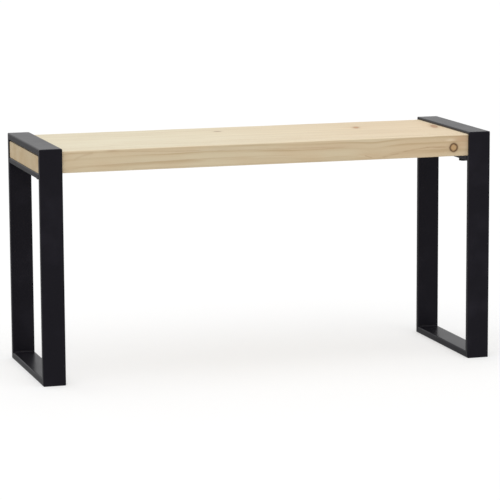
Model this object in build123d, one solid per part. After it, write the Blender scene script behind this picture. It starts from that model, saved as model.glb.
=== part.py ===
"""Entryway bench: two closed flat-tube end frames and one plank seat bolted to them.

Millimetres. +X runs along the bench, +Y to its back, +Z up. The origin is on the
floor, at the middle of the footprint.
"""
from build123d import *
import math
import os

# Overall sizes
bench_length = 900.0
bench_depth = 290.0
bench_height = 450.0

# Flat rectangular tube that both end frames are welded from
tube_width = 44.0            # wide side, along the bench
tube_thickness = 13.0        # thin side, in the plane of the frame
crossbar_thickness = 11.0    # thin side of the bar under the seat
tube_wall = 1.5
tube_corner_radius = 2.5     # outer, along the tube's long edges
loop_corner_radius = 1.5     # outer corners of each loop, where the mitres are ground

# Seat plank
plank_thickness = 42.0
seat_drop = 5.0              # plank's top below the frames' tops
plank_side_recess = 6.0      # long faces stand back from the legs' outer faces
plank_edge_radius = 2.5
shoulder_edge_radius = 1.5
end_grain_chamfer = 1.0

# Fits between the plank and each end frame
shoulder_clearance = 3.0     # shoulder to the frame's inner side
tongue_top_clearance = 2.0   # tongue to the top bar
tongue_side_clearance = 2.5  # tongue to each leg
tongue_end_recess = 1.0      # tongue's end behind the frame's outer side

# M10 bolts that hold the plank down on the crossbars, two a frame
bolt_edge_distance = 85.0    # bolt axis to the frame's front or back
bolt_diameter = 10.0
bolt_hole_clearance = 1.0
bolt_head_flats = 17.0
bolt_head_height = 6.4
bolt_head_chamfer = 0.8
bolt_tip_chamfer = 1.0
washer_diameter = 20.0
washer_thickness = 2.0
washer_bore_clearance = 0.5

# Threaded inserts in the underside of the plank
insert_diameter = 16.0
insert_length = 20.0
insert_thread_depth = 1.0
insert_thread_pitch = 4.0
insert_bore_clearance = 0.2
insert_hole_extra_depth = 3.0

# Worked out from the sizes above
half_length = bench_length / 2
half_depth = bench_depth / 2
frame_centre_x = half_length - tube_width / 2
frame_inner_x = half_length - tube_width
leg_inner_y = half_depth - tube_thickness
half_tube_thickness = tube_thickness / 2
top_bar_underside = bench_height - tube_thickness
plank_underside = bench_height - seat_drop - plank_thickness
crossbar_underside = plank_underside - crossbar_thickness
washer_underside = crossbar_underside - washer_thickness

plank_half_depth = half_depth - plank_side_recess
plank_half_body = frame_inner_x - shoulder_clearance
plank_half_length = half_length - tongue_end_recess
tongue_half_depth = leg_inner_y - tongue_side_clearance
tongue_top = top_bar_underside - tongue_top_clearance
tongue_root_overlap = 2 * shoulder_edge_radius

bolt_y = half_depth - bolt_edge_distance
bolt_places = [-bolt_y, bolt_y]
insert_core_diameter = insert_diameter - 2 * insert_thread_depth
cut_margin = 10.0

standing = (Align.CENTER, Align.CENTER, Align.MIN)
hanging = (Align.CENTER, Align.CENTER, Align.MAX)

os.makedirs("parts", exist_ok=True)


def save(shape, node):
    """Write one named piece as its own STEP file."""
    shape.label = node
    export_step(shape, f"parts/{node}.step")


def hollow_tube(plane, length, thickness):
    """Flat tube of the given thickness, centred on the plane and running both ways from it."""
    inner_radius = max(tube_corner_radius - tube_wall, tube_wall / 4)
    outer = RectangleRounded(tube_width, thickness, tube_corner_radius)
    bore = RectangleRounded(tube_width - 2 * tube_wall, thickness - 2 * tube_wall, inner_radius)
    return extrude(plane * (outer - bore), amount=length / 2, both=True)


def vertical_tube(centre_x, centre_y, centre_z, length):
    """Leg tube: wide side along X, thin side along Y, length along Z."""
    plane = Plane(origin=(centre_x, centre_y, centre_z), x_dir=(1, 0, 0), z_dir=(0, 0, 1))
    return hollow_tube(plane, length, tube_thickness)


def level_tube(centre_x, centre_z, length, thickness):
    """Bar tube: wide side along X, thin side along Z, length along Y."""
    plane = Plane(origin=(centre_x, 0, centre_z), x_dir=(1, 0, 0), z_dir=(0, 1, 0))
    return hollow_tube(plane, length, thickness)


def loop_envelope(centre_x):
    """Block with the loop's outline and its ground outer corners."""
    plane = Plane(origin=(centre_x, 0, bench_height / 2), x_dir=(0, 1, 0), z_dir=(1, 0, 0))
    outline = RectangleRounded(bench_depth, bench_height, loop_corner_radius)
    return extrude(plane * outline, amount=tube_width, both=True)


def mitre_wedge(centre_x, side_y, level_z):
    """Wedge on the level bar's side of one corner's 45-degree mitre plane.

    side_y is +1 at the back and -1 at the front, level_z is +1 at the top and -1 at
    the bottom. The mitre plane runs inwards from the loop's outer corner.
    """
    corner_y = side_y * half_depth
    corner_z = bench_height if level_z > 0 else 0.0
    reach = tube_thickness + cut_margin
    outer_y = corner_y + side_y * cut_margin
    outer_z = corner_z + level_z * cut_margin
    inner_y = corner_y - side_y * reach
    inner_z = corner_z - level_z * reach
    plane = Plane(origin=(centre_x, 0, 0), x_dir=(0, 1, 0), z_dir=(1, 0, 0))
    profile = make_face(Polyline((outer_y, outer_z), (inner_y, inner_z), (inner_y, outer_z), close=True))
    return extrude(plane * profile, amount=tube_width, both=True)


def front_leg(centre_x):
    """Front leg with both ends mitred."""
    centre_y = half_tube_thickness - half_depth
    leg = vertical_tube(centre_x, centre_y, bench_height / 2, bench_height) & loop_envelope(centre_x)
    for level_z in (-1, 1):
        leg -= mitre_wedge(centre_x, -1, level_z)
    return leg


def rear_leg(centre_x):
    """Rear leg, the front leg's mirror image."""
    return mirror(front_leg(centre_x), about=Plane.XZ)


def loop_bar(centre_x, level_z):
    """Top or bottom bar of the loop, with both ends mitred."""
    centre_z = bench_height - half_tube_thickness if level_z > 0 else half_tube_thickness
    bar = level_tube(centre_x, centre_z, bench_depth, tube_thickness) & loop_envelope(centre_x)
    middle_length = 2 * (leg_inner_y - cut_margin)
    middle = Pos(centre_x, 0, centre_z) * Box(2 * tube_width, middle_length, 4 * tube_thickness)
    kept = middle + mitre_wedge(centre_x, -1, level_z) + mitre_wedge(centre_x, 1, level_z)
    return bar & kept


def crossbar(centre_x):
    """Bar under the seat, butted between the legs, with a hole for each bolt."""
    centre_z = crossbar_underside + crossbar_thickness / 2
    bar = level_tube(centre_x, centre_z, 2 * leg_inner_y, crossbar_thickness)
    hole = Cylinder((bolt_diameter + bolt_hole_clearance) / 2, 2 * crossbar_thickness)
    for place_y in bolt_places:
        bar -= Pos(centre_x, place_y, centre_z) * hole
    return bar


def plank_body():
    """Full-thickness middle of the plank, its long edges and shoulders eased."""
    centre = Pos(0, 0, plank_underside + plank_thickness / 2)
    body = centre * Box(2 * plank_half_body, 2 * plank_half_depth, plank_thickness)
    body = fillet(body.edges().filter_by(Axis.X), plank_edge_radius)
    return fillet(body.faces().filter_by(Axis.X).edges(), shoulder_edge_radius)


def plank_tongue(side_x):
    """Thinner end of the plank that goes through the frame's window."""
    length = plank_half_length - plank_half_body + tongue_root_overlap
    height = tongue_top - plank_underside
    centre = Pos(side_x * (plank_half_length - length / 2), 0, plank_underside + height / 2)
    tongue = centre * Box(length, 2 * tongue_half_depth, height)
    end_faces = tongue.faces().filter_by(Axis.X).sort_by(Axis.X)
    end_face = end_faces[-1] if side_x > 0 else end_faces[0]
    return chamfer(end_face.edges(), end_grain_chamfer)


def seat_plank():
    """Seat plank with a tongue at each end and blind holes for the inserts."""
    plank = plank_body() + plank_tongue(-1) + plank_tongue(1)
    hole = Cylinder(insert_diameter / 2, insert_length + insert_hole_extra_depth, align=standing)
    for side_x in (-1, 1):
        for place_y in bolt_places:
            plank -= Pos(side_x * frame_centre_x, place_y, plank_underside) * hole
    return plank


def seat_washer():
    """Plain washer, its lower face at z = 0."""
    disc = Cylinder(washer_diameter / 2, washer_thickness, align=standing)
    return disc - Cylinder((bolt_diameter + washer_bore_clearance) / 2, washer_thickness, align=standing)


def seat_bolt():
    """Hex-head bolt: its head hangs below z = 0, its shank ends level with the insert's top."""
    hexagon = RegularPolygon(bolt_head_flats / 2, 6, major_radius=False)
    corner_radius = bolt_head_flats / 2 / math.cos(math.radians(30))
    crown = Cylinder(corner_radius, bolt_head_height, align=hanging)
    crown = chamfer(crown.edges().sort_by(Axis.Z)[0], bolt_head_chamfer)
    head = extrude(hexagon, -bolt_head_height) & crown
    shank_length = washer_thickness + crossbar_thickness + insert_length
    shank = Cylinder(bolt_diameter / 2, shank_length, align=standing)
    return head + chamfer(shank.edges().sort_by(Axis.Z)[-1], bolt_tip_chamfer)


def threaded_insert():
    """Insert with a coarse outer thread drawn as rings, its lower face at z = 0."""
    body = Cylinder(insert_core_diameter / 2, insert_length, align=standing)
    ring = Cylinder(insert_diameter / 2, insert_thread_pitch / 2, align=standing)
    for index in range(int(insert_length / insert_thread_pitch)):
        body += Pos(0, 0, index * insert_thread_pitch) * ring
    return body - Cylinder((bolt_diameter + insert_bore_clearance) / 2, insert_length, align=standing)


def at_bolt_places(piece, centre_x, level_z):
    """The same piece at each bolt place of one end frame."""
    return Compound([Pos(centre_x, place_y, level_z) * piece for place_y in bolt_places])


for side_name, side_x in (("left", -1), ("right", 1)):
    frame_x = side_x * frame_centre_x
    save(front_leg(frame_x), f"{side_name}_front_leg")
    save(rear_leg(frame_x), f"{side_name}_rear_leg")
    save(loop_bar(frame_x, 1), f"{side_name}_top_bar")
    save(loop_bar(frame_x, -1), f"{side_name}_bottom_bar")
    save(crossbar(frame_x), f"{side_name}_crossbar")
    save(at_bolt_places(seat_washer(), frame_x, washer_underside), f"{side_name}_seat_washers")
    save(at_bolt_places(seat_bolt(), frame_x, washer_underside), f"{side_name}_seat_bolts")
    save(at_bolt_places(threaded_insert(), frame_x, plank_underside), f"{side_name}_threaded_inserts")

save(seat_plank(), "seat_plank")
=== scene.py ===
"""Looks of the entryway bench: powder-coated tube end frames, a planed pine seat and its fixings.

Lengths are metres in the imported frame, with +X along the bench, +Y to its back and +Z up.
Patterns inside a finish are worked out in millimetres, because that is how a maker reads wood and coating.
"""
import logging
import math
from dataclasses import dataclass, field
from enum import Enum
from typing import Any

import bmesh
import bpy
import numpy as np
from mathutils import Matrix, Vector


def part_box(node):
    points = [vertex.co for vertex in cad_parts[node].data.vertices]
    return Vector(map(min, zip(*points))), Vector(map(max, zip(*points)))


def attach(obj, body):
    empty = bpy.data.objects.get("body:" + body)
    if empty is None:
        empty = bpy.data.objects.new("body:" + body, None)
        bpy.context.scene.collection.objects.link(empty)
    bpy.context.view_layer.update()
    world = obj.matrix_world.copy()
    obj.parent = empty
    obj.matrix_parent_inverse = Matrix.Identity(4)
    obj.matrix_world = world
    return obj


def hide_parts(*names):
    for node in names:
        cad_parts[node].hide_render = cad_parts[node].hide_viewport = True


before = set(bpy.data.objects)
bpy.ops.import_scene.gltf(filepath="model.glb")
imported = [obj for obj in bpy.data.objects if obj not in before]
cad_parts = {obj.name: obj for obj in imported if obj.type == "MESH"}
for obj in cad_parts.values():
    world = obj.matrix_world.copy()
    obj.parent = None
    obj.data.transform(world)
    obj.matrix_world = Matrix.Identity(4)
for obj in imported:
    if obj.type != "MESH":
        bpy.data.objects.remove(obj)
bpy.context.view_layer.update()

LOG = logging.getLogger("entryway_bench")
MM = 0.001
SIDES = ("left", "right")
SHOULDER_CLEARANCE = 0.003  # between each shoulder of the plank and its frame

Colour = tuple[float, float, float]
Pair = tuple[float, float]
Box = tuple[Vector, Vector]


class Face(Enum):
    """The face of the plank that a knot, a stain or a streak shows on."""

    FRONT = "front"
    TOP = "top"


# ---------------------------------------------------------------- shader arithmetic


class Num:
    """A number-valued socket. Plain arithmetic on it adds Math nodes to its tree."""

    def __init__(self, tree: "Tree", socket: bpy.types.NodeSocket) -> None:
        """Wraps one output socket of the tree."""
        self.tree = tree
        self.socket = socket

    def math(self, operation: str, *terms: "Num | float") -> "Num":
        """One Math node on the terms, in order.

        Args:
            operation: The Math node's operation.
            terms: Its inputs.

        Returns:
            The node's result.
        """
        node = self.tree.add("ShaderNodeMath", {"operation": operation}, dict(enumerate(terms)))
        return Num(self.tree, node.outputs[0])

    def __add__(self, other: "Num | float") -> "Num":
        """Sum."""
        return self.math("ADD", self, other)

    __radd__ = __add__

    def __sub__(self, other: "Num | float") -> "Num":
        """Difference."""
        return self.math("SUBTRACT", self, other)

    def __rsub__(self, other: "Num | float") -> "Num":
        """Difference, this value taken from the other."""
        return self.math("SUBTRACT", other, self)

    def __mul__(self, other: "Num | float") -> "Num":
        """Product."""
        return self.math("MULTIPLY", self, other)

    __rmul__ = __mul__

    def __truediv__(self, other: "Num | float") -> "Num":
        """Quotient."""
        return self.math("DIVIDE", self, other)

    def root(self) -> "Num":
        """Square root."""
        return self.math("SQRT", self)

    def size(self) -> "Num":
        """Value without its sign."""
        return self.math("ABSOLUTE", self)

    def part(self) -> "Num":
        """Part after the decimal point."""
        return self.math("FRACT", self)

    def wave(self) -> "Num":
        """Sine."""
        return self.math("SINE", self)

    def bell(self, width: float) -> "Num":
        """Bell curve round zero: e to the minus of (value over width) squared."""
        return self.math("EXPONENT", (self * self) * (-1.0 / width**2))

    def rise(self, low: float, high: float) -> "Num":
        """Smooth step from 0 at low to 1 at high."""
        return self._mapped(low, high, 0.0, 1.0)

    def fall(self, low: float, high: float) -> "Num":
        """Smooth step from 1 at low to 0 at high."""
        return self._mapped(low, high, 1.0, 0.0)

    def _mapped(self, low: float, high: float, first: float, last: float) -> "Num":
        """Map Range node with a smooth step from first at low to last at high."""
        node = self.tree.add(
            "ShaderNodeMapRange",
            {"interpolation_type": "SMOOTHSTEP"},
            {0: self, 1: low, 2: high, 3: first, 4: last},
        )
        return Num(self.tree, node.outputs[0])


Place = tuple[Num, Num, Num]


class Tree:
    """The node tree of one new material or world."""

    def __init__(self, owner: bpy.types.Material | bpy.types.World) -> None:
        """Takes over the owner's node tree and empties it.

        Args:
            owner: The material or the world that the tree belongs to.
        """
        self.owner = owner
        self.owner.use_nodes = True
        self.nodes = self.owner.node_tree.nodes
        self.links = self.owner.node_tree.links
        self.nodes.clear()

    @classmethod
    def of_material(cls, name: str) -> "Tree":
        """Tree of a new material of that name."""
        return cls(bpy.data.materials.new(name))

    def add(self, kind: str, settings: dict[str, Any], inputs: dict[Any, Any]) -> bpy.types.Node:
        """Adds one node.

        Args:
            kind: Blender's name of the node type.
            settings: Its settings, which are set before the inputs.
            inputs: Values or sockets by input name or number.

        Returns:
            The node.
        """
        node = self.nodes.new(kind)
        for name, setting in settings.items():
            setattr(node, name, setting)
        for name, term in inputs.items():
            source = term.socket if isinstance(term, Num) else term
            if isinstance(source, bpy.types.NodeSocket):
                self.links.new(source, node.inputs[name])
            else:
                node.inputs[name].default_value = source
        return node

    def place(self) -> Place:
        """Object coordinates.

        Returns:
            X, Y and Z in millimetres.
        """
        coordinates = self.add("ShaderNodeTexCoord", {}, {})
        split = self.add("ShaderNodeSeparateXYZ", {}, {0: coordinates.outputs["Object"]})
        x, y, z = (Num(self, split.outputs[axis]) / MM for axis in range(3))
        return x, y, z

    def noise(self, x: Num, y: Num, z: Num, detail: float = 2.0, roughness: float = 0.5) -> Num:
        """Smooth noise, with about one bump for each unit of x, y and z.

        Args:
            x: First coordinate, already divided by the size of a bump along it.
            y: Second coordinate, likewise.
            z: Third coordinate, likewise.
            detail: How many finer layers of noise are added.
            roughness: How strong each finer layer is.

        Returns:
            The noise, from 0 to 1 with its mean near 0.5.
        """
        point = self.add("ShaderNodeCombineXYZ", {}, {0: x, 1: y, 2: z})
        node = self.add(
            "ShaderNodeTexNoise",
            {},
            {"Vector": point.outputs[0], "Scale": 1.0, "Detail": detail, "Roughness": roughness},
        )
        return Num(self, node.outputs[0])

    def colour(self, value: Colour) -> tuple[float, float, float, float]:
        """Colour with full alpha, as a colour input takes it."""
        return (*value, 1.0)

    def mix(self, share: Num | float, first: Any, second: Any) -> bpy.types.NodeSocket:
        """Mix of two colours.

        Args:
            share: How much of the second colour, from 0 to 1.
            first: A colour or a colour socket.
            second: A colour or a colour socket.

        Returns:
            The mixed colour's socket.
        """
        first, second = (self.colour(c) if isinstance(c, tuple) else c for c in (first, second))
        node = self.add("ShaderNodeMix", {"data_type": "RGBA"}, {0: share, 6: first, 7: second})
        return node.outputs[2]

    def finish(
        self,
        colour: Any,
        roughness: Num | float,
        height: Num,
        depth: float,
        settings: dict[str, Any],
    ) -> bpy.types.Material:
        """Closes the tree with one Principled shader over a bump.

        Args:
            colour: Base colour, or its socket.
            roughness: Roughness.
            height: Height of the surface from 0 to 1.
            depth: What a height of 1 stands for, in metres.
            settings: Principled inputs that are the same all over.

        Returns:
            The material.
        """
        bump = self.add("ShaderNodeBump", {}, {"Strength": 1.0, "Distance": depth, "Height": height})
        base = self.colour(colour) if isinstance(colour, tuple) else colour
        shader = self.add(
            "ShaderNodeBsdfPrincipled",
            {},
            {"Base Color": base, "Roughness": roughness, "Normal": bump.outputs[0], **settings},
        )
        self.add("ShaderNodeOutputMaterial", {}, {0: shader.outputs[0]})
        return self.owner


# ---------------------------------------------------------------- finishes


@dataclass(frozen=True)
class PowderCoat:
    """Satin black powder coat on steel tube."""

    colour: Colour = (0.0085, 0.0078, 0.0104)
    roughness: float = 0.30
    specular: float = 0.178
    tint: Colour = (0.880, 0.850, 1.0)
    peel_pitch: float = 1.3   # mm between the bumps of the coat's orange peel
    wave_pitch: float = 28.0  # mm between the slow waves of the drawn tube
    haze_pitch: float = 60.0  # mm between the coat's thinner places
    haze_gain: float = 1.5    # how much lighter the coat is where it is thin
    peel_share: float = 0.25  # share of the peel in the relief, the rest being waves
    relief: float = 0.00010   # m that a height of 1 stands for

    def material(self) -> bpy.types.Material:
        """Fine orange peel over slow waves, with roughness that wanders a little.

        Returns:
            The material of tubes and welds.
        """
        tree = Tree.of_material("satin_black_powder_coat")
        place = tree.place()
        peel = tree.noise(*(axis / self.peel_pitch for axis in place), detail=1.0)
        waves = tree.noise(*(axis / self.wave_pitch for axis in place), detail=1.0)
        haze = tree.noise(*(axis / self.haze_pitch for axis in place), detail=3.0)
        roughness = self.roughness + 0.10 * (haze - 0.5) + 0.06 * (peel - 0.5)
        height = self.peel_share * peel + (1.0 - self.peel_share) * waves
        thin = tuple(c * self.haze_gain for c in self.colour)
        shade = tree.mix(haze.rise(0.45, 0.75), self.colour, thin)
        gloss = {"Specular IOR Level": self.specular, "Specular Tint": tree.colour(self.tint)}
        return tree.finish(shade, roughness, height, self.relief, gloss)


@dataclass(frozen=True)
class BareMetal:
    """Turned or forged metal of the fixings."""

    name: str
    colour: Colour
    roughness: float
    mark_pitch: float = 0.6     # mm between tool marks
    mark_length: float = 6.0    # mm that a tool mark runs
    mottle_pitch: float = 4.0   # mm between darker patches
    mottle_dark: float = 0.6    # tone of a darker patch, as a share of the colour
    relief: float = 0.00004     # m that a height of 1 stands for

    def material(self) -> bpy.types.Material:
        """Metal with fine level tool marks and a mottled tone.

        Returns:
            The material.
        """
        tree = Tree.of_material(self.name)
        x, y, z = tree.place()
        marks = tree.noise(x / self.mark_length, y / self.mark_length, z / self.mark_pitch, detail=2.0)
        mottle = tree.noise(*(axis / self.mottle_pitch for axis in (x, y, z)), detail=3.0)
        dark = tuple(c * self.mottle_dark for c in self.colour)
        shade = tree.mix(mottle.rise(0.35, 0.7), self.colour, dark)
        roughness = self.roughness + 0.2 * (mottle - 0.5)
        return tree.finish(shade, roughness, marks, self.relief, {"Metallic": 1.0})


@dataclass(frozen=True)
class Knot:
    """A round knot that comes out on one face of the plank. Lengths are in millimetres."""

    face: Face
    along: float              # X of its middle
    across: float             # Z on the front, Y on the top
    radius: float
    heart: Colour
    ring_strength: float      # how dark the bark ring is, from 0 to 1
    stretch: float = 1.0      # its length along the grain over its width
    lean: float = 0.0         # how far it leans along X for each millimetre across


@dataclass(frozen=True)
class Stain:
    """A soft patch of resin or heartwood colour on one face. Lengths are in millimetres."""

    face: Face
    along: float              # X of its middle
    across: float             # Z on the front, Y on the top
    half_along: float         # where it has faded to about a third, along X
    half_across: float        # the same across
    colour: Colour
    strength: float           # its share at the middle, from 0 to 1


@dataclass(frozen=True)
class Streak:
    """A thin dark line on one face: grain, and along the front's lower edge a painted shade."""

    face: Face
    start: Pair               # along and across at its left end
    end: Pair                 # along and across at its right end
    strength: float           # how dark it is, from 0 to 1
    bow: float = 0.0          # how far its middle stands off the straight line
    half_width: float = 0.9


@dataclass(frozen=True)
class Pine:
    """Pale planed pine, its top painted paler as a painted sheen, with growth rings that run through the
    whole plank.
    """

    knots: tuple[Knot, ...]
    stains: tuple[Stain, ...]
    streaks: tuple[Streak, ...]
    underside: float          # Z of the plank's underside, mm
    top: float                # Z of its top, mm
    front: float              # Y of its front, mm
    shoulder: float           # X of its right shoulder, mm
    half_length: float        # X of its end grain, mm
    early: Colour = (0.620, 0.520, 0.350)
    late: Colour = (0.440, 0.310, 0.165)
    warm: Colour = (0.585, 0.425, 0.255)
    # painted sheen: the top's paler, less saturated colours stand in for the sky's grazing sheen on it
    top_sheen: Colour = (0.792, 0.728, 0.545)
    top_sheen_warm: Colour = (0.805, 0.648, 0.445)
    # pale arris: partly sanded wood, partly a painted highlight where the rounded edges catch light
    sanded_highlight: Colour = (0.800, 0.700, 0.520)
    end_blotch: Colour = (0.450, 0.330, 0.160)
    # colour of the streaks: heartwood, and painted shade for the line along the front's lower edge
    heartwood_and_edge_shade: Colour = (0.300, 0.160, 0.070)
    bark: Colour = (0.085, 0.033, 0.006)
    ring_pitch: float = 2.7
    pith_back: float = 8.0    # Y of the pith
    pith_below: float = 7.0   # how far the pith lies under the plank
    first_ring: float = 148.80    # radius at which one ring starts
    roughness: float = 0.56
    specular: float = 0.35
    relief: float = 0.00022   # m that a height of 1 stands for

    def material(self) -> bpy.types.Material:
        """Growth rings round the pith, fibre along X, knots, marks, a top painted paler as sheen, an arris
        painted pale and end grain.

        The wood is paler and greener at the left end and warmer at the right, on its front and on its top,
        and the arris where they meet is painted pale, partly as sanded wood and partly as a painted
        highlight.

        Returns:
            The seat's material.
        """
        tree = Tree.of_material("pale_pine")
        place = x, y, z = tree.place()
        fibre = tree.noise(x / 90.0, y / 0.9, z / 0.9, detail=3.0, roughness=0.6)
        pores = tree.noise(x / 14.0, y / 0.35, z / 0.35, detail=2.0)
        cloud = tree.noise(x / 170.0, y / 45.0, z / 45.0, detail=2.0)
        late = self._latewood(tree, place)
        strength = 0.30 + 0.75 * tree.noise(x / 210.0, y / 9.0, z / 9.0, detail=1.0).rise(0.42, 0.66)
        shade = tree.mix(cloud.rise(0.35, 0.70) * 0.55, self.early, self.warm)
        shade = tree.mix(x.rise(60.0, 430.0) * 0.34, shade, self.warm)
        shade = tree.mix(late * strength * 0.62, shade, self.late)
        shade = tree.mix((fibre - 0.5).rise(0.02, 0.30) * 0.30, shade, self.late)
        # Painted sheen: the top is mixed toward a paler, less saturated colour, less over latewood, in bands
        # and toward the back.
        on_top = z.rise(self.top - 1.6, self.top - 0.3)
        bands = tree.noise(x / 190.0, y / 24.0, 0.0 * z, detail=2.0).rise(0.30, 0.70)
        top_sheen = tree.mix(x.rise(-330.0, 430.0), self.top_sheen, self.top_sheen_warm)
        sheen_cover = 0.90 - 0.44 * late * strength - 0.18 * bands - 0.10 * y.rise(-20.0, 130.0)
        shade = tree.mix(on_top * sheen_cover, shade, top_sheen)
        shade = self._stained(tree, shade, place)
        shade = self._streaked(tree, shade, place)
        shade, ring = self._knotted(tree, shade, place, fibre)
        # Painted highlight, partly real sanding: the arris is mixed toward a pale colour where the rounded
        # edge catches light.
        shade = tree.mix(self._arris_sanding_and_highlight(place) * 0.55, shade, self.sanded_highlight)
        end = x.size().rise(self.half_length - 0.6, self.half_length - 0.2)
        blotch = tree.noise(x / 30.0, y / 34.0, z / 17.0, detail=2.0).rise(0.36, 0.66)
        shade = tree.mix(end * (0.20 + 0.40 * late), shade, self.late)
        shade = tree.mix(end * (0.10 + 0.34 * blotch), shade, self.end_blotch)
        roughness = self.roughness + 0.10 * (fibre - 0.5) - 0.08 * late - 0.12 * ring
        height = 0.45 * fibre + 0.30 * pores + 0.25 * late - 0.8 * ring
        return tree.finish(shade, roughness, height, self.relief, {"Specular IOR Level": self.specular})

    def _latewood(self, tree: Tree, place: Place) -> Num:
        """Dark share of the growth rings.

        A ring's radius is the distance from the pith's line, plus a bend that is a function of X:
        a broad arch left of the middle and a sharper one at the small top knot. Slow and quick
        noise make the rings wander. The dark share climbs over each ring and drops at its end.

        Args:
            tree: The material's tree.
            place: X, Y and Z in mm.

        Returns:
            The share, from 0 in early wood to 1 in latewood.
        """
        x, y, z = place
        broad = 1.3 * (1.0 - (x + 172.0).bell(250.0)) * x.fall(90.0, 310.0)
        sharp = 0.95 * (x - 214.0).bell(36.0)
        slow = tree.noise(x / 260.0, y / 90.0, z / 60.0, detail=1.0) - 0.5
        quick = tree.noise(x / 55.0, y / 14.0, z / 14.0, detail=2.0) - 0.5
        across = y - self.pith_back
        up = z - (self.underside - self.pith_below)
        radius = (across * across + up * up).root() + (broad + sharp) + 0.9 * slow + 0.5 * quick
        turn = ((radius - self.first_ring) / self.ring_pitch + 100.0).part()
        return turn.rise(0.45, 0.95) * turn.fall(0.965, 1.0)

    def _on_face(self, face: Face, place: Place) -> tuple[Num, Num]:
        """How a face of the plank is measured.

        Args:
            face: The face.
            place: X, Y and Z in mm.

        Returns:
            The coordinate across the face, and a mask that is 1 at the face and 0 deep inside.
        """
        _, y, z = place
        if face is Face.FRONT:
            return z, y.fall(self.front + 3.0, self.front + 11.0)
        return y, z.rise(self.top - 11.0, self.top - 3.0)

    def _arris_sanding_and_highlight(self, place: Place) -> Num:
        """Share of sanding and painted highlight, 1 near the front top edge and the shoulders' top edges.

        It is a step on the distance to the unrounded edge: in Y and Z for the front top edge,
        in X and Z for a shoulder.

        Args:
            place: X, Y and Z in mm.

        Returns:
            The share, from 0 to 1.
        """
        x, y, z = place
        rise = z - self.top
        out = y - self.front
        past = x.size() - self.shoulder
        along_front = (out * out + rise * rise).root().fall(1.2, 2.3)
        along_shoulder = (past * past + rise * rise).root().fall(0.9, 1.9)
        return along_front.math("MAXIMUM", along_front, along_shoulder)

    def _stained(self, tree: Tree, shade: Any, place: Place) -> Any:
        """Lays each stain over the wood as the product of two bell curves, broken up by noise.

        Args:
            tree: The material's tree.
            shade: The wood's colour socket.
            place: X, Y and Z in mm.

        Returns:
            The stained colour's socket.
        """
        x, y, z = place
        broken = tree.noise(x / 60.0, y / 3.0, z / 3.0, detail=2.0).rise(0.30, 0.62)
        for stain in self.stains:
            across, mask = self._on_face(stain.face, place)
            patch = (x - stain.along).bell(stain.half_along) * (across - stain.across).bell(stain.half_across)
            shade = tree.mix(patch * mask * broken * stain.strength, shade, stain.colour)
        return shade

    def _streaked(self, tree: Tree, shade: Any, place: Place) -> Any:
        """Lays each streak over the wood.

        A streak's line is a straight one plus its bow times one minus the square of the share of
        the way from its middle. Its darkness is a bell curve across it and fades at both ends.

        Args:
            tree: The material's tree.
            shade: The wood's colour socket.
            place: X, Y and Z in mm.

        Returns:
            The streaked colour's socket.
        """
        x, y, z = place
        broken = tree.noise(x / 16.0, y / 4.0, z / 4.0, detail=2.0).rise(0.25, 0.60)
        for streak in self.streaks:
            across, mask = self._on_face(streak.face, place)
            middle, level = ((last + first) / 2 for first, last in zip(streak.start, streak.end))
            half, climb = ((last - first) / 2 for first, last in zip(streak.start, streak.end))
            share = (x - middle) / half
            line = level + climb * share + streak.bow * (1.0 - share * share)
            shown = (across - line).bell(streak.half_width) * share.size().fall(0.80, 1.05) * mask
            shade = tree.mix(shown * (0.35 + 0.65 * broken) * streak.strength, shade, self.heartwood_and_edge_shade)
        return shade

    def _knotted(self, tree: Tree, shade: Any, place: Place, fibre: Num) -> tuple[Any, Num]:
        """Lays each knot over the wood.

        A knot is a distance from its axis: rings inside it repeat with that distance, its bark
        ring is a band at the radius, and the wood round it darkens and fades outwards.

        Args:
            tree: The material's tree.
            shade: The wood's colour socket.
            place: X, Y and Z in mm.
            fibre: The wood's fibre, which breaks up the bark.

        Returns:
            The colour's socket, and how much of a bark ring shows.
        """
        x = place[0]
        ragged = tree.noise(*(axis / 5.0 for axis in place), detail=2.0) - 0.5
        bark_total = 0.0 * x
        for knot in self.knots:
            across, mask = self._on_face(knot.face, place)
            dy = across - knot.across
            dx = (x - knot.along - knot.lean * dy) / knot.stretch
            distance = (dx * dx + dy * dy).root() + ragged * (0.30 * knot.radius)
            inside = distance.fall(0.90 * knot.radius, 1.05 * knot.radius) * mask
            rings = 0.5 + 0.5 * (distance * (2.0 * math.pi / (0.30 * knot.radius))).wave()
            halo = distance.fall(0.9 * knot.radius, 2.4 * knot.radius) * mask
            bark = (distance - 0.94 * knot.radius).bell(0.24 * knot.radius) * mask
            lit = 0.90 + 0.5 * ragged + 0.25 * (fibre - 0.5)
            shade = tree.mix(halo * 0.32, shade, self.late)
            shade = tree.mix(inside * (0.55 + 0.35 * rings), shade, knot.heart)
            shade = tree.mix(bark * lit * knot.ring_strength, shade, self.bark)
            bark_total = bark_total + bark * knot.ring_strength
        return shade, bark_total


# ---------------------------------------------------------------- meshes


def mesh_object(name: str, points: np.ndarray, faces: np.ndarray) -> bpy.types.Object:
    """Makes a mesh object from whole arrays, with doubles merged and its faces turned outwards.

    Args:
        name: The object's name.
        points: Corner positions, one row each.
        faces: Corner numbers, four to a row.

    Returns:
        The object, at the origin and in the scene.
    """
    mesh = bpy.data.meshes.new(name)
    mesh.from_pydata(points.tolist(), [], faces.tolist())
    piece = bpy.data.objects.new(name, mesh)
    bpy.context.scene.collection.objects.link(piece)
    tidy_mesh(mesh)
    return piece


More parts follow.
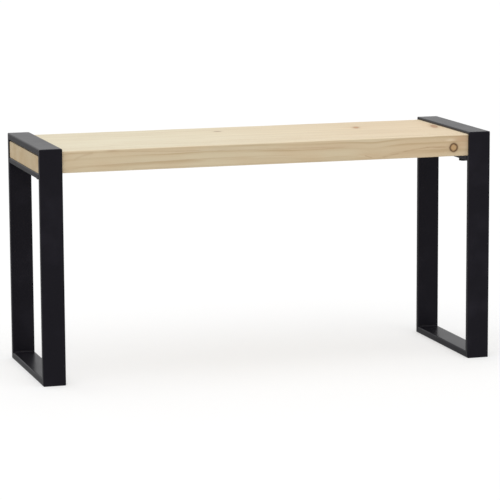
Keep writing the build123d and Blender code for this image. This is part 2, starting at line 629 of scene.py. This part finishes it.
def tidy_mesh(mesh: bpy.types.Mesh) -> None:
    """Merges corners that share a place, drops faces that lost theirs, and turns faces outwards.

    Args:
        mesh: The mesh, which is changed in place.
    """
    work = bmesh.new()
    work.from_mesh(mesh)
    bmesh.ops.remove_doubles(work, verts=work.verts, dist=1e-6)
    bmesh.ops.dissolve_degenerate(work, edges=work.edges, dist=1e-7)
    bmesh.ops.recalc_face_normals(work, faces=work.faces)
    work.to_mesh(mesh)
    work.free()


def ring_faces(rows: int, columns: int) -> np.ndarray:
    """Quads of a grid whose columns close into a ring and whose rows don't.

    Args:
        rows: How many rows the grid has.
        columns: How many points there are in a row.

    Returns:
        Corner numbers, four to a row, with the grid's points counted row by row.
    """
    row, column = np.meshgrid(np.arange(rows - 1), np.arange(columns), indexing="ij")
    following = (column + 1) % columns
    quads = (row * columns + column, row * columns + following,
             (row + 1) * columns + following, (row + 1) * columns + column)
    return np.stack(quads, axis=-1).reshape(-1, 4)


def shade_smooth(piece: bpy.types.Object, sharp_degrees: float) -> None:
    """Smooth shading that keeps edges sharper than the angle.

    Args:
        piece: The piece.
        sharp_degrees: The angle.
    """
    mesh = piece.data
    mesh.shade_smooth()
    mesh.set_sharp_from_angle(angle=math.radians(sharp_degrees))


def show(piece: bpy.types.Object, material: bpy.types.Material) -> None:
    """Gives a new piece its material and slot, and lets it ride on the bench's one body.

    Args:
        piece: The piece.
        material: Its material.
    """
    piece.data.materials.append(material)
    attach(piece, "root")


# ---------------------------------------------------------------- seat plank


@dataclass
class SeatPlank:
    """The plank: a full-thickness body between the frames and a thinner tongue through each of them.

    It is a loft of rounded rectangles along X, closed at each end on the rectangle's middle line.
    """

    box: Box = field(default_factory=lambda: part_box("seat_plank"))
    shoulder_clearance: float = SHOULDER_CLEARANCE
    tongue_top_clearance: float = 0.002
    tongue_side_clearance: float = 0.0025
    edge_radius: float = 0.0025
    shoulder_radius: float = 0.0015
    shoulder_lean: float = 0.00005  # how far a shoulder leans out to its root, so its faces stay whole
    end_chamfer: float = 0.001
    tongue_edge_radius: float = 0.0004
    pitch: float = 0.004          # grid pitch on the wide faces
    fine_pitch: float = 0.0016    # grid pitch on the narrow faces and at the knots
    knot_reach: float = 0.014     # how far the fine pitch runs either way from a knot
    arc_steps: int = 5            # steps round an eased edge
    plane_wave: float = 0.00016   # height of the waves that the hand plane left
    edge_wander: float = 0.0005   # how much the eased edges' radius wanders
    knot_dome: float = 0.00022    # how far a knot stands proud
    knot_groove: float = 0.00030  # depth of the groove round a full bark ring
    still_margin: float = 0.012   # over this length the relief fades to nothing at a shoulder
    hole_extra_depth: float = 0.003   # hole beyond the insert's top
    cutter_margin: float = 0.004  # cutter below the plank
    cutter_sides: int = 48
    sharp_degrees: float = 32.0

    def build(self, finish: Pine) -> bpy.types.Object:
        """Builds the plank, cuts the inserts' holes and dresses it.

        Args:
            finish: The wood, whose knots the surface follows.

        Returns:
            The plank, which replaces the plain one.
        """
        stations = self._stations(finish)
        loop = self._loop()
        points = self._loft(stations, loop)
        rows, columns = points.shape[:2]
        points = self._relief(points, loop, finish)
        plank = mesh_object("seat_plank_planed", points.reshape(-1, 3), ring_faces(rows, columns))
        self._drill(plank)
        shade_smooth(plank, self.sharp_degrees)
        show(plank, finish.material())
        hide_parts("seat_plank")
        return plank

    def _body_half(self) -> float:
        """X of the right shoulder."""
        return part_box("right_top_bar")[0].x - self.shoulder_clearance

    def _tongue(self) -> tuple[float, float]:
        """Half depth of a tongue, and the height of its top."""
        half_depth = -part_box("left_front_leg")[1].y - self.tongue_side_clearance
        return half_depth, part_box("left_top_bar")[0].z - self.tongue_top_clearance

    def _stations(self, finish: Pine) -> np.ndarray:
        """Sections along X, one row each: x, half depth, bottom, top, corner radius.

        The right half runs from the middle outwards: body, quarter-round shoulder, shoulder face,
        tongue, chamfer, and a cap that shrinks inwards to the section's middle line. The left
        half is its mirror image.

        Args:
            finish: The wood, round whose knots the sections stand closer.

        Returns:
            The sections, from the left end to the right.
        """
        low, high = self.box
        body_end = self._body_half()
        half_depth, tongue_top = self._tongue()
        knots = np.abs([knot.along * MM for knot in finish.knots])
        even = np.linspace(0.0, body_end - self.shoulder_radius, round(body_end / self.pitch))
        near = np.arange(-self.knot_reach, self.knot_reach, self.fine_pitch)
        dense = np.concatenate([knot + near for knot in knots])
        inner = np.unique(np.round(np.concatenate([even, dense]), 5))
        inner = inner[np.concatenate([[True], np.diff(inner) > self.fine_pitch / 2])]
        wander = 1.0 + self.edge_wander / self.edge_radius * (
            np.sin(inner * 37.0) * 0.6 + np.sin(inner * 91.0 + 1.0) * 0.4
        )
        body = np.stack([
            inner, np.full_like(inner, high.y), np.full_like(inner, low.z),
            np.full_like(inner, high.z), self.edge_radius * wander,
        ], axis=1)
        turn = np.linspace(0.0, math.pi / 2, self.arc_steps + 1)[1:]
        inset = self.shoulder_radius * (1.0 - np.cos(turn))
        shoulder = np.stack([
            body_end - self.shoulder_radius * (1.0 - np.sin(turn)), high.y - inset,
            np.full_like(turn, low.z), high.z - inset, np.full_like(turn, self.edge_radius),
        ], axis=1)
        tongue_x = np.linspace(body_end + self.shoulder_lean, high.x - self.end_chamfer, 13)
        tongue = np.stack([
            tongue_x, np.full_like(tongue_x, half_depth), np.full_like(tongue_x, low.z),
            np.full_like(tongue_x, tongue_top), np.full_like(tongue_x, self.tongue_edge_radius),
        ], axis=1)
        half_thickness = (tongue_top - low.z) / 2
        caps = np.linspace(self.end_chamfer, half_thickness, 7)
        cap = np.stack([
            np.full_like(caps, high.x), half_depth - caps, low.z + caps,
            tongue_top - caps, np.zeros_like(caps),
        ], axis=1)
        right = np.concatenate([body, shoulder, tongue, cap])
        left = right[:0:-1] * np.array([-1.0, 1.0, 1.0, 1.0, 1.0])
        return np.concatenate([left, right])

    def _loop(self) -> np.ndarray:
        """Points round one section, one row each: share across, share up, and the corner arc's two parts.

        The shares run from -1 to 1 along the straight sides; the arc's parts are the outward
        direction there. The loop runs up the front, back over the top, down the back and home.

        Returns:
            The four columns for every point.
        """
        low, high = self.box
        wide = round((high.y - low.y) / self.pitch)
        thick = round((high.z - low.z) / self.fine_pitch)
        up = np.linspace(-1.0, 1.0, thick)
        over = np.linspace(-1.0, 1.0, wide)
        return np.concatenate([
            self._run(-1.0, up, -1.0, 0.0), self._corner(-1.0, 1.0, math.pi),
            self._run(over, 1.0, 0.0, 1.0), self._corner(1.0, 1.0, math.pi / 2),
            self._run(1.0, -up, 1.0, 0.0), self._corner(1.0, -1.0, 0.0),
            self._run(-over, -1.0, 0.0, -1.0), self._corner(-1.0, -1.0, -math.pi / 2),
        ])

    def _run(self, across: Any, up: Any, out_y: Any, out_z: Any) -> np.ndarray:
        """Four columns of the loop, with single values repeated along the longest."""
        return np.stack(np.broadcast_arrays(across, up, out_y, out_z), axis=1)

    def _corner(self, across: float, up: float, start: float) -> np.ndarray:
        """Points of a quarter circle that turns clockwise from the start angle, its two ends left out."""
        turn = start - np.linspace(0.0, math.pi / 2, self.arc_steps + 1)[1:-1]
        return self._run(across, up, np.cos(turn), np.sin(turn))

    def _loft(self, stations: np.ndarray, loop: np.ndarray) -> np.ndarray:
        """Carries the loop along the stations.

        Each coordinate is its share of the section's half size less the corner radius, plus the
        radius times the arc's direction.

        Args:
            stations: The sections along X.
            loop: The points round one section.

        Returns:
            Grid of points, one row for each section.
        """
        x, half_depth, bottom, top, radius = (column[:, None] for column in stations.T)
        across, up, out_y, out_z = (column[None, :] for column in loop.T)
        half_height = (top - bottom) / 2
        y = across * (half_depth - radius) + out_y * radius
        z = (top + bottom) / 2 + up * (half_height - radius) + out_z * radius
        return np.stack([np.broadcast_to(x, y.shape), y, z], axis=-1)

    def _relief(self, points: np.ndarray, loop: np.ndarray, finish: Pine) -> np.ndarray:
        """Moves the body's front, top and back in or out along their normals.

        The move is three crossed sine waves, as a plane leaves them, plus a low dome with a
        groove round it at each knot. It fades to nothing at the shoulders and underneath.

        Args:
            points: The loft's grid.
            loop: The points round one section, whose arc gives the outward direction.
            finish: The wood, with its knots.

        Returns:
            The moved grid.
        """
        x, y, z = np.moveaxis(points, -1, 0)
        out_y, out_z = (np.broadcast_to(column[None, :], x.shape) for column in loop.T[2:])
        waves = (
            0.5 * np.sin(x / 0.046 + y / 0.11 + 1.3)
            + 0.3 * np.sin(x / 0.021 - y / 0.060 + z / 0.02)
            + 0.2 * np.sin(x / 0.120 + z / 0.012 + 0.4)
        )
        move = self.plane_wave * (waves - 1.0)
        for knot in finish.knots:
            across, facing = (z, -out_y) if knot.face is Face.FRONT else (y, out_z)
            off = across - knot.across * MM
            along = (x - knot.along * MM - knot.lean * off) / knot.stretch
            reach = np.hypot(along, off) / (knot.radius * MM)
            dome = self.knot_dome * np.exp(-(reach / 0.75) ** 2)
            groove = self.knot_groove * np.exp(-(((reach - 1.0) / 0.22) ** 2))
            move = move + np.clip(facing, 0.0, 1.0) * (dome - groove * knot.ring_strength)
        fade = np.clip((self._body_half() - np.abs(x)) / self.still_margin, 0.0, 1.0)
        move = move * fade * np.clip(1.0 + 2.0 * np.minimum(out_z, 0.0), 0.0, 1.0)
        shift = np.stack([np.zeros_like(x), out_y * move, out_z * move], axis=-1)
        return points + shift

    def _drill(self, plank: bpy.types.Object) -> None:
        """Cuts a blind hole for each threaded insert, a little deeper than the insert.

        Args:
            plank: The plank, which gets the drilled mesh.
        """
        cutters = [self._cutter(side, back) for side in SIDES for back in (False, True)]
        for cutter in cutters:
            cut = plank.modifiers.new(cutter.name, "BOOLEAN")
            cut.operation = "DIFFERENCE"
            cut.solver = "EXACT"
            cut.object = cutter
        seen = plank.evaluated_get(bpy.context.evaluated_depsgraph_get())
        drilled = bpy.data.meshes.new_from_object(seen)
        plank.modifiers.clear()
        plank.data = drilled
        drilled.name = plank.name
        for cutter in cutters:
            bpy.data.objects.remove(cutter)

    def _cutter(self, side: str, back: bool) -> bpy.types.Object:
        """Cylinder that fills one insert's hole and sticks out below the plank.

        Its profile runs from the axis out, up and back to the axis, and is turned about Z.

        Args:
            side: The frame's side.
            back: Whether it is the hole nearer the back.

        Returns:
            The cylinder.
        """
        low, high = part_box(f"{side}_threaded_inserts")
        radius = (high.x - low.x) / 2
        centre_x = (high.x + low.x) / 2
        centre_y = high.y - radius if back else low.y + radius
        turn = np.linspace(0.0, 2.0 * math.pi, self.cutter_sides + 1)[:-1]
        bottom, top = low.z - self.cutter_margin, high.z + self.hole_extra_depth
        heights = np.array([bottom, bottom, top, top])
        radii = np.array([0.0, radius, radius, 0.0])
        grid = np.stack([
            centre_x + radii[:, None] * np.cos(turn)[None, :],
            centre_y + radii[:, None] * np.sin(turn)[None, :],
            np.broadcast_to(heights[:, None], (radii.size, turn.size)),
        ], axis=-1)
        name = f"{side}_{'back' if back else 'front'}_cutter"
        return mesh_object(name, grid.reshape(-1, 3), ring_faces(radii.size, turn.size))


# ---------------------------------------------------------------- steel frames


@dataclass
class EndFrame:
    """One closed loop of flat tube with a crossbar, its tubes dressed and its inner corners welded."""

    side: str
    weld_leg: float = 0.0028      # leg of the fillet weld's section
    weld_margin: float = 0.0028   # bare tube at each end of a weld
    weld_root: float = 0.0002     # how far the weld reaches past the corner into the tubes
    flatness: float = 1.15        # 1 for a round section, 2 for a straight one
    ripple_pitch: float = 0.0016
    ripple_height: float = 0.06   # share of the weld's leg
    ripple_lag: float = 1.3       # radians that a ripple lags in the middle of the section
    ripple_rows: int = 6          # sections in one ripple
    section_steps: int = 8        # steps round the section
    sharp_degrees: float = 50.0

    TUBES = ("front_leg", "rear_leg", "top_bar", "crossbar", "bottom_bar")

    def build(self, coat: bpy.types.Material) -> list[bpy.types.Object]:
        """Dresses the five tubes and adds four welds, at the floor and under the crossbar.

        Args:
            coat: The powder coat, which covers tubes and welds alike.

        Returns:
            The welds.
        """
        for tube in self.TUBES:
            dress_node(f"{self.side}_{tube}", coat)
        floor_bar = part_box(f"{self.side}_bottom_bar")[1].z
        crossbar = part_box(f"{self.side}_crossbar")[0].z
        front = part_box(f"{self.side}_front_leg")[1].y
        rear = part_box(f"{self.side}_rear_leg")[0].y
        corners = {
            "front_floor": ((front, floor_bar), (1.0, 1.0)),
            "rear_floor": ((rear, floor_bar), (-1.0, 1.0)),
            "front_crossbar": ((front, crossbar), (1.0, -1.0)),
            "rear_crossbar": ((rear, crossbar), (-1.0, -1.0)),
        }
        return [self._weld(name, coat, *corner) for name, corner in corners.items()]

    def _weld(self, name: str, coat: bpy.types.Material, corner: Pair, open_to: Pair) -> bpy.types.Object:
        """One fillet weld along X in an inner corner.

        Its section is a quarter of a slightly flattened circle from one tube to the other, closed
        through the corner. The leg length ripples with X, later in the middle of the section
        than at its toes, and tapers to nothing at both ends.

        Args:
            name: Where the weld is.
            coat: Its material.
            corner: The corner's Y and Z.
            open_to: Directions from the corner along Y and Z into the open, 1 or -1 each.

        Returns:
            The weld.
        """
        low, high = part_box(f"{self.side}_crossbar")
        start, end = low.x + self.weld_margin, high.x - self.weld_margin
        rows = round((end - start) / self.ripple_pitch) * self.ripple_rows
        share = np.linspace(-1.0, 1.0, rows)[:, None]
        turn = np.linspace(0.0, math.pi / 2, self.section_steps + 1)[None, :]
        x = (start + end) / 2 + share * (end - start) / 2
        phase = 2.0 * math.pi * (x - start) / self.ripple_pitch - self.ripple_lag * np.sin(2.0 * turn)
        taper = np.sqrt(np.clip(1.0 - share**6, 0.0, 1.0))
        leg = self.weld_leg * taper * (1.0 + self.ripple_height * np.cos(phase))
        root = -self.weld_root * taper
        out_y, out_z = (
            np.concatenate([leg * arc(turn) ** self.flatness, root], axis=1) for arc in (np.cos, np.sin)
        )
        y, z = (place + way * out for place, way, out in zip(corner, open_to, (out_y, out_z)))
        grid = np.stack([np.broadcast_to(x, y.shape), y, z], axis=-1)
        weld = mesh_object(f"{self.side}_{name}_weld", grid.reshape(-1, 3), ring_faces(*y.shape))
        shade_smooth(weld, self.sharp_degrees)
        show(weld, coat)
        return weld


def dress_node(name: str, material: bpy.types.Material) -> None:
    """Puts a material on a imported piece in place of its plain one.

    Args:
        name: The piece's node.
        material: The material.
    """
    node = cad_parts[name]
    if not node.material_slots:
        node.data.materials.append(material)
    for slot in node.material_slots:
        slot.material = material


@dataclass(frozen=True)
class Fixings:
    """Bolts and washers of blackened steel, and brass threaded inserts."""

    steel: BareMetal = BareMetal("blackened_steel", (0.055, 0.052, 0.050), 0.42)
    brass: BareMetal = BareMetal("turned_brass", (0.62, 0.44, 0.18), 0.30)

    def dress(self) -> None:
        """Dresses the fixings of both frames."""
        steel, brass = self.steel.material(), self.brass.material()
        for side in SIDES:
            dress_node(f"{side}_seat_bolts", steel)
            dress_node(f"{side}_seat_washers", steel)
            dress_node(f"{side}_threaded_inserts", brass)


# ---------------------------------------------------------------- studio


@dataclass(frozen=True)
class Viewpoint:
    """Where the bench is looked at from. Angles are in degrees."""

    place: tuple[float, float, float] = (-1.479, -4.874, 1.040)
    yaw: float = -16.90
    pitch: float = -9.19
    roll: float = 0.30
    lens: float = 188.4           # mm, on the sensor's width
    sensor_width: float = 36.0    # mm
    clip_end: float = 200.0

    def build(self) -> None:
        """Makes the scene's camera, level and facing back at first.

        It is rolled about its own line of sight, then tipped by the pitch, then turned about Z
        by the yaw.
        """
        camera = bpy.data.cameras.new("viewpoint")
        camera.lens = self.lens
        camera.sensor_width = self.sensor_width
        camera.clip_end = self.clip_end
        seen = bpy.data.objects.new("viewpoint", camera)
        turn = (
            Matrix.Rotation(math.radians(self.yaw), 4, "Z")
            @ Matrix.Rotation(math.radians(self.pitch), 4, "X")
            @ Matrix.Rotation(math.radians(self.roll), 4, "Y")
            @ Matrix.Rotation(math.pi / 2, 4, "X")
        )
        seen.matrix_world = Matrix.Translation(self.place) @ turn
        bpy.context.scene.collection.objects.link(seen)
        bpy.context.scene.camera = seen


@dataclass(frozen=True)
class Studio:
    """Pale floor that glows a little, white sky and one very wide soft light from above."""

    white: Colour = (1.0, 1.0, 1.0)
    floor_half: float = 40.0       # m from its middle to its sides
    floor_colour: Colour = (0.50, 0.50, 0.50)
    floor_glow: float = 0.47
    floor_roughness: float = 0.9
    floor_specular: float = 0.1
    floor_relief: float = 0.00001  # m that a height of 1 stands for
    mottle_pitch: float = 400.0    # mm between the floor's darker patches
    mottle_dark: float = 0.95      # their tone, as a share of the colour
    sky: float = 0.78
    below: float = 0.33
    horizon: Pair = (-0.03, 0.05)  # Z of the direction where below ends and where sky starts
    overhead: float = 1.05
    overhead_spread: float = 75.0  # degrees across the light
    overhead_tip: Pair = (14.0, -12.0)  # degrees about X and about Y

    def build(self) -> None:
        """Makes the floor, the sky and the lights."""
        bpy.context.scene.view_settings.view_transform = "Standard"
        self._floor()
        self._sky()
        self._overhead()

    def _floor(self) -> None:
        """One flat sheet at Z = 0, with a faint mottle."""
        half = self.floor_half
        corners = np.array([[-half, -half, 0.0], [half, -half, 0.0], [half, half, 0.0], [-half, half, 0.0]])
        floor = mesh_object("studio_floor", corners, np.array([[0, 1, 2, 3]]))
        tree = Tree.of_material("studio_floor")
        x, y, z = tree.place()
        mottle = tree.noise(x / self.mottle_pitch, y / self.mottle_pitch, z, detail=2.0)
        dark = tuple(c * self.mottle_dark for c in self.floor_colour)
        shade = tree.mix(mottle * 0.1, self.floor_colour, dark)
        settings = {
            "Specular IOR Level": self.floor_specular,
            "Emission Color": tree.colour(self.white),
            "Emission Strength": self.floor_glow,
        }
        finish = tree.finish(shade, self.floor_roughness, mottle, self.floor_relief, settings)
        floor.data.materials.append(finish)
        floor.visible_glossy = False

    def _sky(self) -> None:
        """White above the horizon, and the dimmer room that gloss sees below it."""
        world = bpy.data.worlds.new("studio_sky")
        tree = Tree(world)
        direction = tree.add("ShaderNodeTexCoord", {}, {}).outputs["Generated"]
        split = tree.add("ShaderNodeSeparateXYZ", {}, {0: direction})
        above = Num(tree, split.outputs[2]).rise(*self.horizon)
        strength = self.below + (self.sky - self.below) * above
        background = tree.add(
            "ShaderNodeBackground", {}, {"Color": tree.colour(self.white), "Strength": strength}
        )
        tree.add("ShaderNodeOutputWorld", {}, {0: background.outputs[0]})
        bpy.context.scene.world = world

    def _overhead(self) -> None:
        """Wide soft light that comes from overhead and a little from the front left."""
        light = bpy.data.lights.new("overhead", "SUN")
        light.energy = self.overhead
        light.angle = math.radians(self.overhead_spread)
        lamp = bpy.data.objects.new("overhead", light)
        lamp.rotation_euler = (*(math.radians(tip) for tip in self.overhead_tip), 0.0)
        bpy.context.scene.collection.objects.link(lamp)


def seat_wood() -> Pine:
    """The seat's pine, with its knots, stains and streaks placed on this plank.

    Heights on the front are counted from the plank's underside.

    Returns:
        The finish.
    """
    low, high = (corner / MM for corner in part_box("seat_plank"))
    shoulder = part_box("right_top_bar")[0].x / MM - SHOULDER_CLEARANCE / MM
    reddish, tan, dark = (0.42, 0.20, 0.10), (0.46, 0.29, 0.15), (0.30, 0.15, 0.07)
    base = low.z
    knots = (
        Knot(Face.FRONT, 376.0, base + 17.0, 7.9, (0.46, 0.27, 0.11), 1.0),
        Knot(Face.TOP, 393.0, 14.0, 26.0, reddish, 0.10, stretch=0.26, lean=0.24),
        Knot(Face.TOP, 238.0, 44.0, 13.0, (0.50, 0.24, 0.11), 0.14, stretch=0.45, lean=0.24),
        Knot(Face.TOP, -43.0, 70.0, 4.0, dark, 0.30, stretch=1.8),
    )
    stains = (
        Stain(Face.FRONT, -105.0, base + 33.0, 120.0, 3.0, dark, 0.12),
        Stain(Face.FRONT, 120.0, base + 28.0, 50.0, 4.0, reddish, 0.20),
        Stain(Face.FRONT, -305.0, base + 39.0, 13.0, 2.0, dark, 0.62),
        Stain(Face.FRONT, 392.0, base + 32.0, 20.0, 14.0, reddish, 0.34),
        Stain(Face.FRONT, 345.0, base + 19.0, 26.0, 3.5, dark, 0.26),
        Stain(Face.FRONT, 200.0, base + 7.0, 70.0, 8.0, tan, 0.26),
        Stain(Face.FRONT, 370.0, base + 32.0, 9.0, 2.4, (0.78, 0.66, 0.48), 0.60),
        Stain(Face.TOP, -331.0, 41.0, 12.0, 2.4, dark, 0.34),
        Stain(Face.TOP, -292.0, -85.0, 14.0, 2.4, dark, 0.30),
        Stain(Face.TOP, -166.0, -56.0, 12.0, 2.4, dark, 0.30),
        Stain(Face.TOP, 159.0, 125.0, 14.0, 2.4, dark, 0.30),
        Stain(Face.TOP, 240.0, 48.0, 26.0, 20.0, (0.66, 0.44, 0.24), 0.34),
        Stain(Face.TOP, 398.0, 20.0, 18.0, 45.0, (0.66, 0.40, 0.20), 0.42),
    )
    streaks = (
        Streak(Face.FRONT, (-300.0, base + 37.5), (25.0, base + 30.0), 0.30, bow=-2.2, half_width=0.6),
        Streak(Face.FRONT, (5.0, base + 30.3), (165.0, base + 27.0), 0.24, bow=-0.6, half_width=0.7),
        Streak(Face.FRONT, (-384.0, base + 24.0), (-345.0, base + 36.0), 0.18, bow=2.0, half_width=2.2),
        Streak(Face.FRONT, (268.0, base + 12.5), (338.0, base + 20.5), 0.34, bow=1.0, half_width=1.1),
        Streak(Face.FRONT, (316.0, base + 20.0), (362.0, base + 18.5), 0.30, half_width=1.0),
        Streak(Face.FRONT, (192.0, base + 9.0), (208.0, base + 3.5), 0.34, half_width=1.1),
        Streak(Face.FRONT, (226.0, base + 3.0), (264.0, base + 10.0), 0.30, bow=0.8, half_width=1.1),
        # painted shade: this line along the front's lower edge stands for the shade where the rounded edge
        # turns down
        Streak(Face.FRONT, (-380.0, base + 3.0), (180.0, base + 2.2), 0.22, bow=0.6, half_width=0.7),
        Streak(Face.FRONT, (-395.0, base + 8.0), (-250.0, base + 14.5), 0.20, bow=0.6, half_width=0.9),
        Streak(Face.FRONT, (-250.0, base + 14.5), (60.0, base + 15.5), 0.18, bow=1.6, half_width=0.8),
    )
    return Pine(
        knots, stains, streaks,
        underside=low.z, top=high.z, front=low.y, shoulder=shoulder, half_length=high.x,
    )


def main() -> None:
    """Builds the bench's looks piece by piece, then the room it is seen in."""
    logging.basicConfig(level=logging.INFO, format="%(name)s: %(message)s")
    Viewpoint().build()
    Studio().build()
    LOG.info("studio and viewpoint ready")
    coat = PowderCoat().material()
    for side in SIDES:
        welds = EndFrame(side).build(coat)
        LOG.info("%s end frame: %d tubes coated, %d welds", side, len(EndFrame.TUBES), len(welds))
    plank = SeatPlank().build(seat_wood())
    LOG.info("seat plank: %d faces", len(plank.data.polygons))
    Fixings().dress()
    LOG.info("fixings dressed")


if __name__ == "__main__":
    main()
